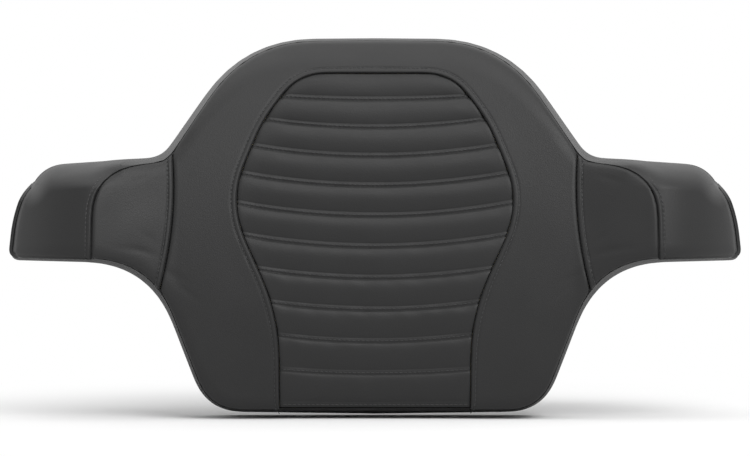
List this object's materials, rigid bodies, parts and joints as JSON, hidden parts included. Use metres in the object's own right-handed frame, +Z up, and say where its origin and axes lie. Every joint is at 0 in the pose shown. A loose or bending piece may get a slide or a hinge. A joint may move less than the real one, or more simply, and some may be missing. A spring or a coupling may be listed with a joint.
{
  "type": "motorcycle backrest pad",
  "caption": "Wrap-round passenger backrest pad with a pleated shield insert, padded wings and a bolt-on base pan.",
  "frame": {"origin": "middle of the four threaded inserts, on the plane of the bosses' rear faces", "axes": "+Z up, +Y out of the back towards the carrier, X across the pad; the padded face looks along -Y"},
  "size_m": [0.68, 0.1731, 0.352],
  "materials": {
    "vinyl": "black grained upholstery vinyl, satin",
    "thread": "black bonded thread",
    "foam": "moulded polyurethane foam, matt",
    "pan": "black moulded plastic with a fine texture",
    "tack": "black woven tack strip",
    "steel": "zinc-plated steel"
  },
  "bodies": {
    "root": {"base_pan": "pan", "foam_core": "foam", "insert_sew_foam": "foam", "pleated_insert": "vinyl", "cover_field": "vinyl", "inner_wing_left": "vinyl", "inner_wing_right": "vinyl", "upper_band": "vinyl", "lower_band": "vinyl", "tack_strip": "tack", "staples": "steel", "t_nuts": "steel"}
  },
  "joints": []
}
